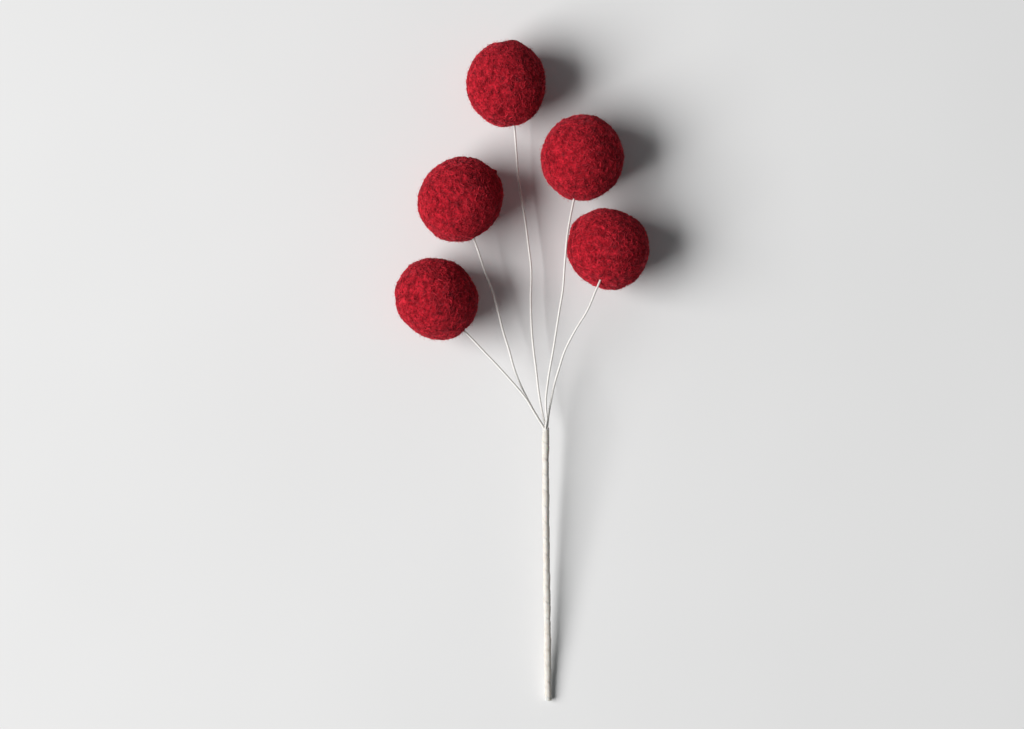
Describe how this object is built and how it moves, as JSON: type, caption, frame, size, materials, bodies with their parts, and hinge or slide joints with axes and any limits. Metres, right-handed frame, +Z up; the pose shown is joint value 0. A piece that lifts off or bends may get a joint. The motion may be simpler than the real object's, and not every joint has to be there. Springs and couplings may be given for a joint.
{
  "type": "felt ball spray",
  "caption": "Decorative spray of red felted wool balls on bendable white paper-covered wires, bound with white floral tape into one straight stem that pushes into a vase or foam",
  "frame": {"origin": "the middle of the footprint at the height of the surface that the spray lies on", "axes": "+Z up off the surface, +Y along the stem from its cut end to the balls, +X to the right when looking down with +Y away"},
  "size_m": [0.1218, 0.3197, 0.0408],
  "materials": {
    "wool_felt": "felted wool, matted short fibres, no shine",
    "paper_cover": "white crepe paper wound round the wire, matt",
    "floral_tape": "white waxed crepe floral tape wound in an overlapping spiral, slightly wrinkled",
    "steel_wire": "soft annealed steel wire, seen only at the cut end",
    "hot_glue": "set hot-melt glue, hidden inside each ball"
  },
  "bodies": {
    "stem": {"stem_tape": "floral_tape", "stem_stiffener_wire": "steel_wire", "wire_cover_1_stem": "paper_cover", "wire_core_1_stem": "steel_wire", "wire_cover_2_stem": "paper_cover", "wire_core_2_stem": "steel_wire", "wire_cover_3_stem": "paper_cover", "wire_core_3_stem": "steel_wire", "wire_cover_4_stem": "paper_cover", "wire_core_4_stem": "steel_wire", "wire_cover_5_stem": "paper_cover", "wire_core_5_stem": "steel_wire"},
    "branch_1_lower": {"wire_cover_1_lower": "paper_cover", "wire_core_1_lower": "steel_wire"},
    "branch_1_upper": {"wire_cover_1_upper": "paper_cover", "wire_core_1_upper": "steel_wire", "felt_ball_1": "wool_felt", "glue_dab_1": "hot_glue"},
    "branch_2_lower": {"wire_cover_2_lower": "paper_cover", "wire_core_2_lower": "steel_wire"},
    "branch_2_upper": {"wire_cover_2_upper": "paper_cover", "wire_core_2_upper": "steel_wire", "felt_ball_2": "wool_felt", "glue_dab_2": "hot_glue"},
    "branch_3_lower": {"wire_cover_3_lower": "paper_cover", "wire_core_3_lower": "steel_wire"},
    "branch_3_upper": {"wire_cover_3_upper": "paper_cover", "wire_core_3_upper": "steel_wire", "felt_ball_3": "wool_felt", "glue_dab_3": "hot_glue"},
    "branch_4_lower": {"wire_cover_4_lower": "paper_cover", "wire_core_4_lower": "steel_wire"},
    "branch_4_upper": {"wire_cover_4_upper": "paper_cover", "wire_core_4_upper": "steel_wire", "felt_ball_4": "wool_felt", "glue_dab_4": "hot_glue"},
    "branch_5_lower": {"wire_cover_5_lower": "paper_cover", "wire_core_5_lower": "steel_wire"},
    "branch_5_upper": {"wire_cover_5_upper": "paper_cover", "wire_core_5_upper": "steel_wire", "felt_ball_5": "wool_felt", "glue_dab_5": "hot_glue"}
  },
  "joints": [
    {"name": "branch_1_splay", "type": "hinge", "parent": "stem", "child": "branch_1_lower", "pos_m": [0.01194, -0.0268, 0.01486], "axis": [0, 0, 1], "range_deg": [-2.5, 3.5]},
    {"name": "branch_1_lift", "type": "hinge", "parent": "branch_1_lower", "child": "branch_1_upper", "pos_m": [0.0069, 0.0012, 0.0129], "axis": [0.9945, 0.1044, 0], "range_deg": [-45, 40]},
    {"name": "branch_2_splay", "type": "hinge", "parent": "stem", "child": "branch_2_lower", "pos_m": [0.01139, -0.0268, 0.01656], "axis": [0, 0, 1], "range_deg": [-1, 4]},
    {"name": "branch_2_lift", "type": "hinge", "parent": "branch_2_lower", "child": "branch_2_upper", "pos_m": [0.0133, 0.0012, 0.021], "axis": [0.9886, -0.1506, 0], "range_deg": [-45, 45]},
    {"name": "branch_3_splay", "type": "hinge", "parent": "stem", "child": "branch_3_lower", "pos_m": [0.01084, -0.0268, 0.01486], "axis": [0, 0, 1], "range_deg": [-3.5, 4.5]},
    {"name": "branch_3_lift", "type": "hinge", "parent": "branch_3_lower", "child": "branch_3_upper", "pos_m": [-0.0035, 0.0012, 0.0147], "axis": [0.9535, 0.3012, 0], "range_deg": [-45, 45]},
    {"name": "branch_4_splay", "type": "hinge", "parent": "stem", "child": "branch_4_lower", "pos_m": [0.01228, -0.0268, 0.01591], "axis": [0, 0, 1], "range_deg": [-45, 0.5]},
    {"name": "branch_4_lift", "type": "hinge", "parent": "branch_4_lower", "child": "branch_4_upper", "pos_m": [0.0176, 0.0012, 0.0201], "axis": [0.9257, -0.3783, 0], "range_deg": [-45, 45]},
    {"name": "branch_5_splay", "type": "hinge", "parent": "stem", "child": "branch_5_lower", "pos_m": [0.0105, -0.0268, 0.01591], "axis": [0, 0, 1], "range_deg": [-4, 45]},
    {"name": "branch_5_lift", "type": "hinge", "parent": "branch_5_lower", "child": "branch_5_upper", "pos_m": [-0.0098, 0.0012, 0.0173], "axis": [0.7416, 0.6709, 0], "range_deg": [-45, 45]}
  ]
}
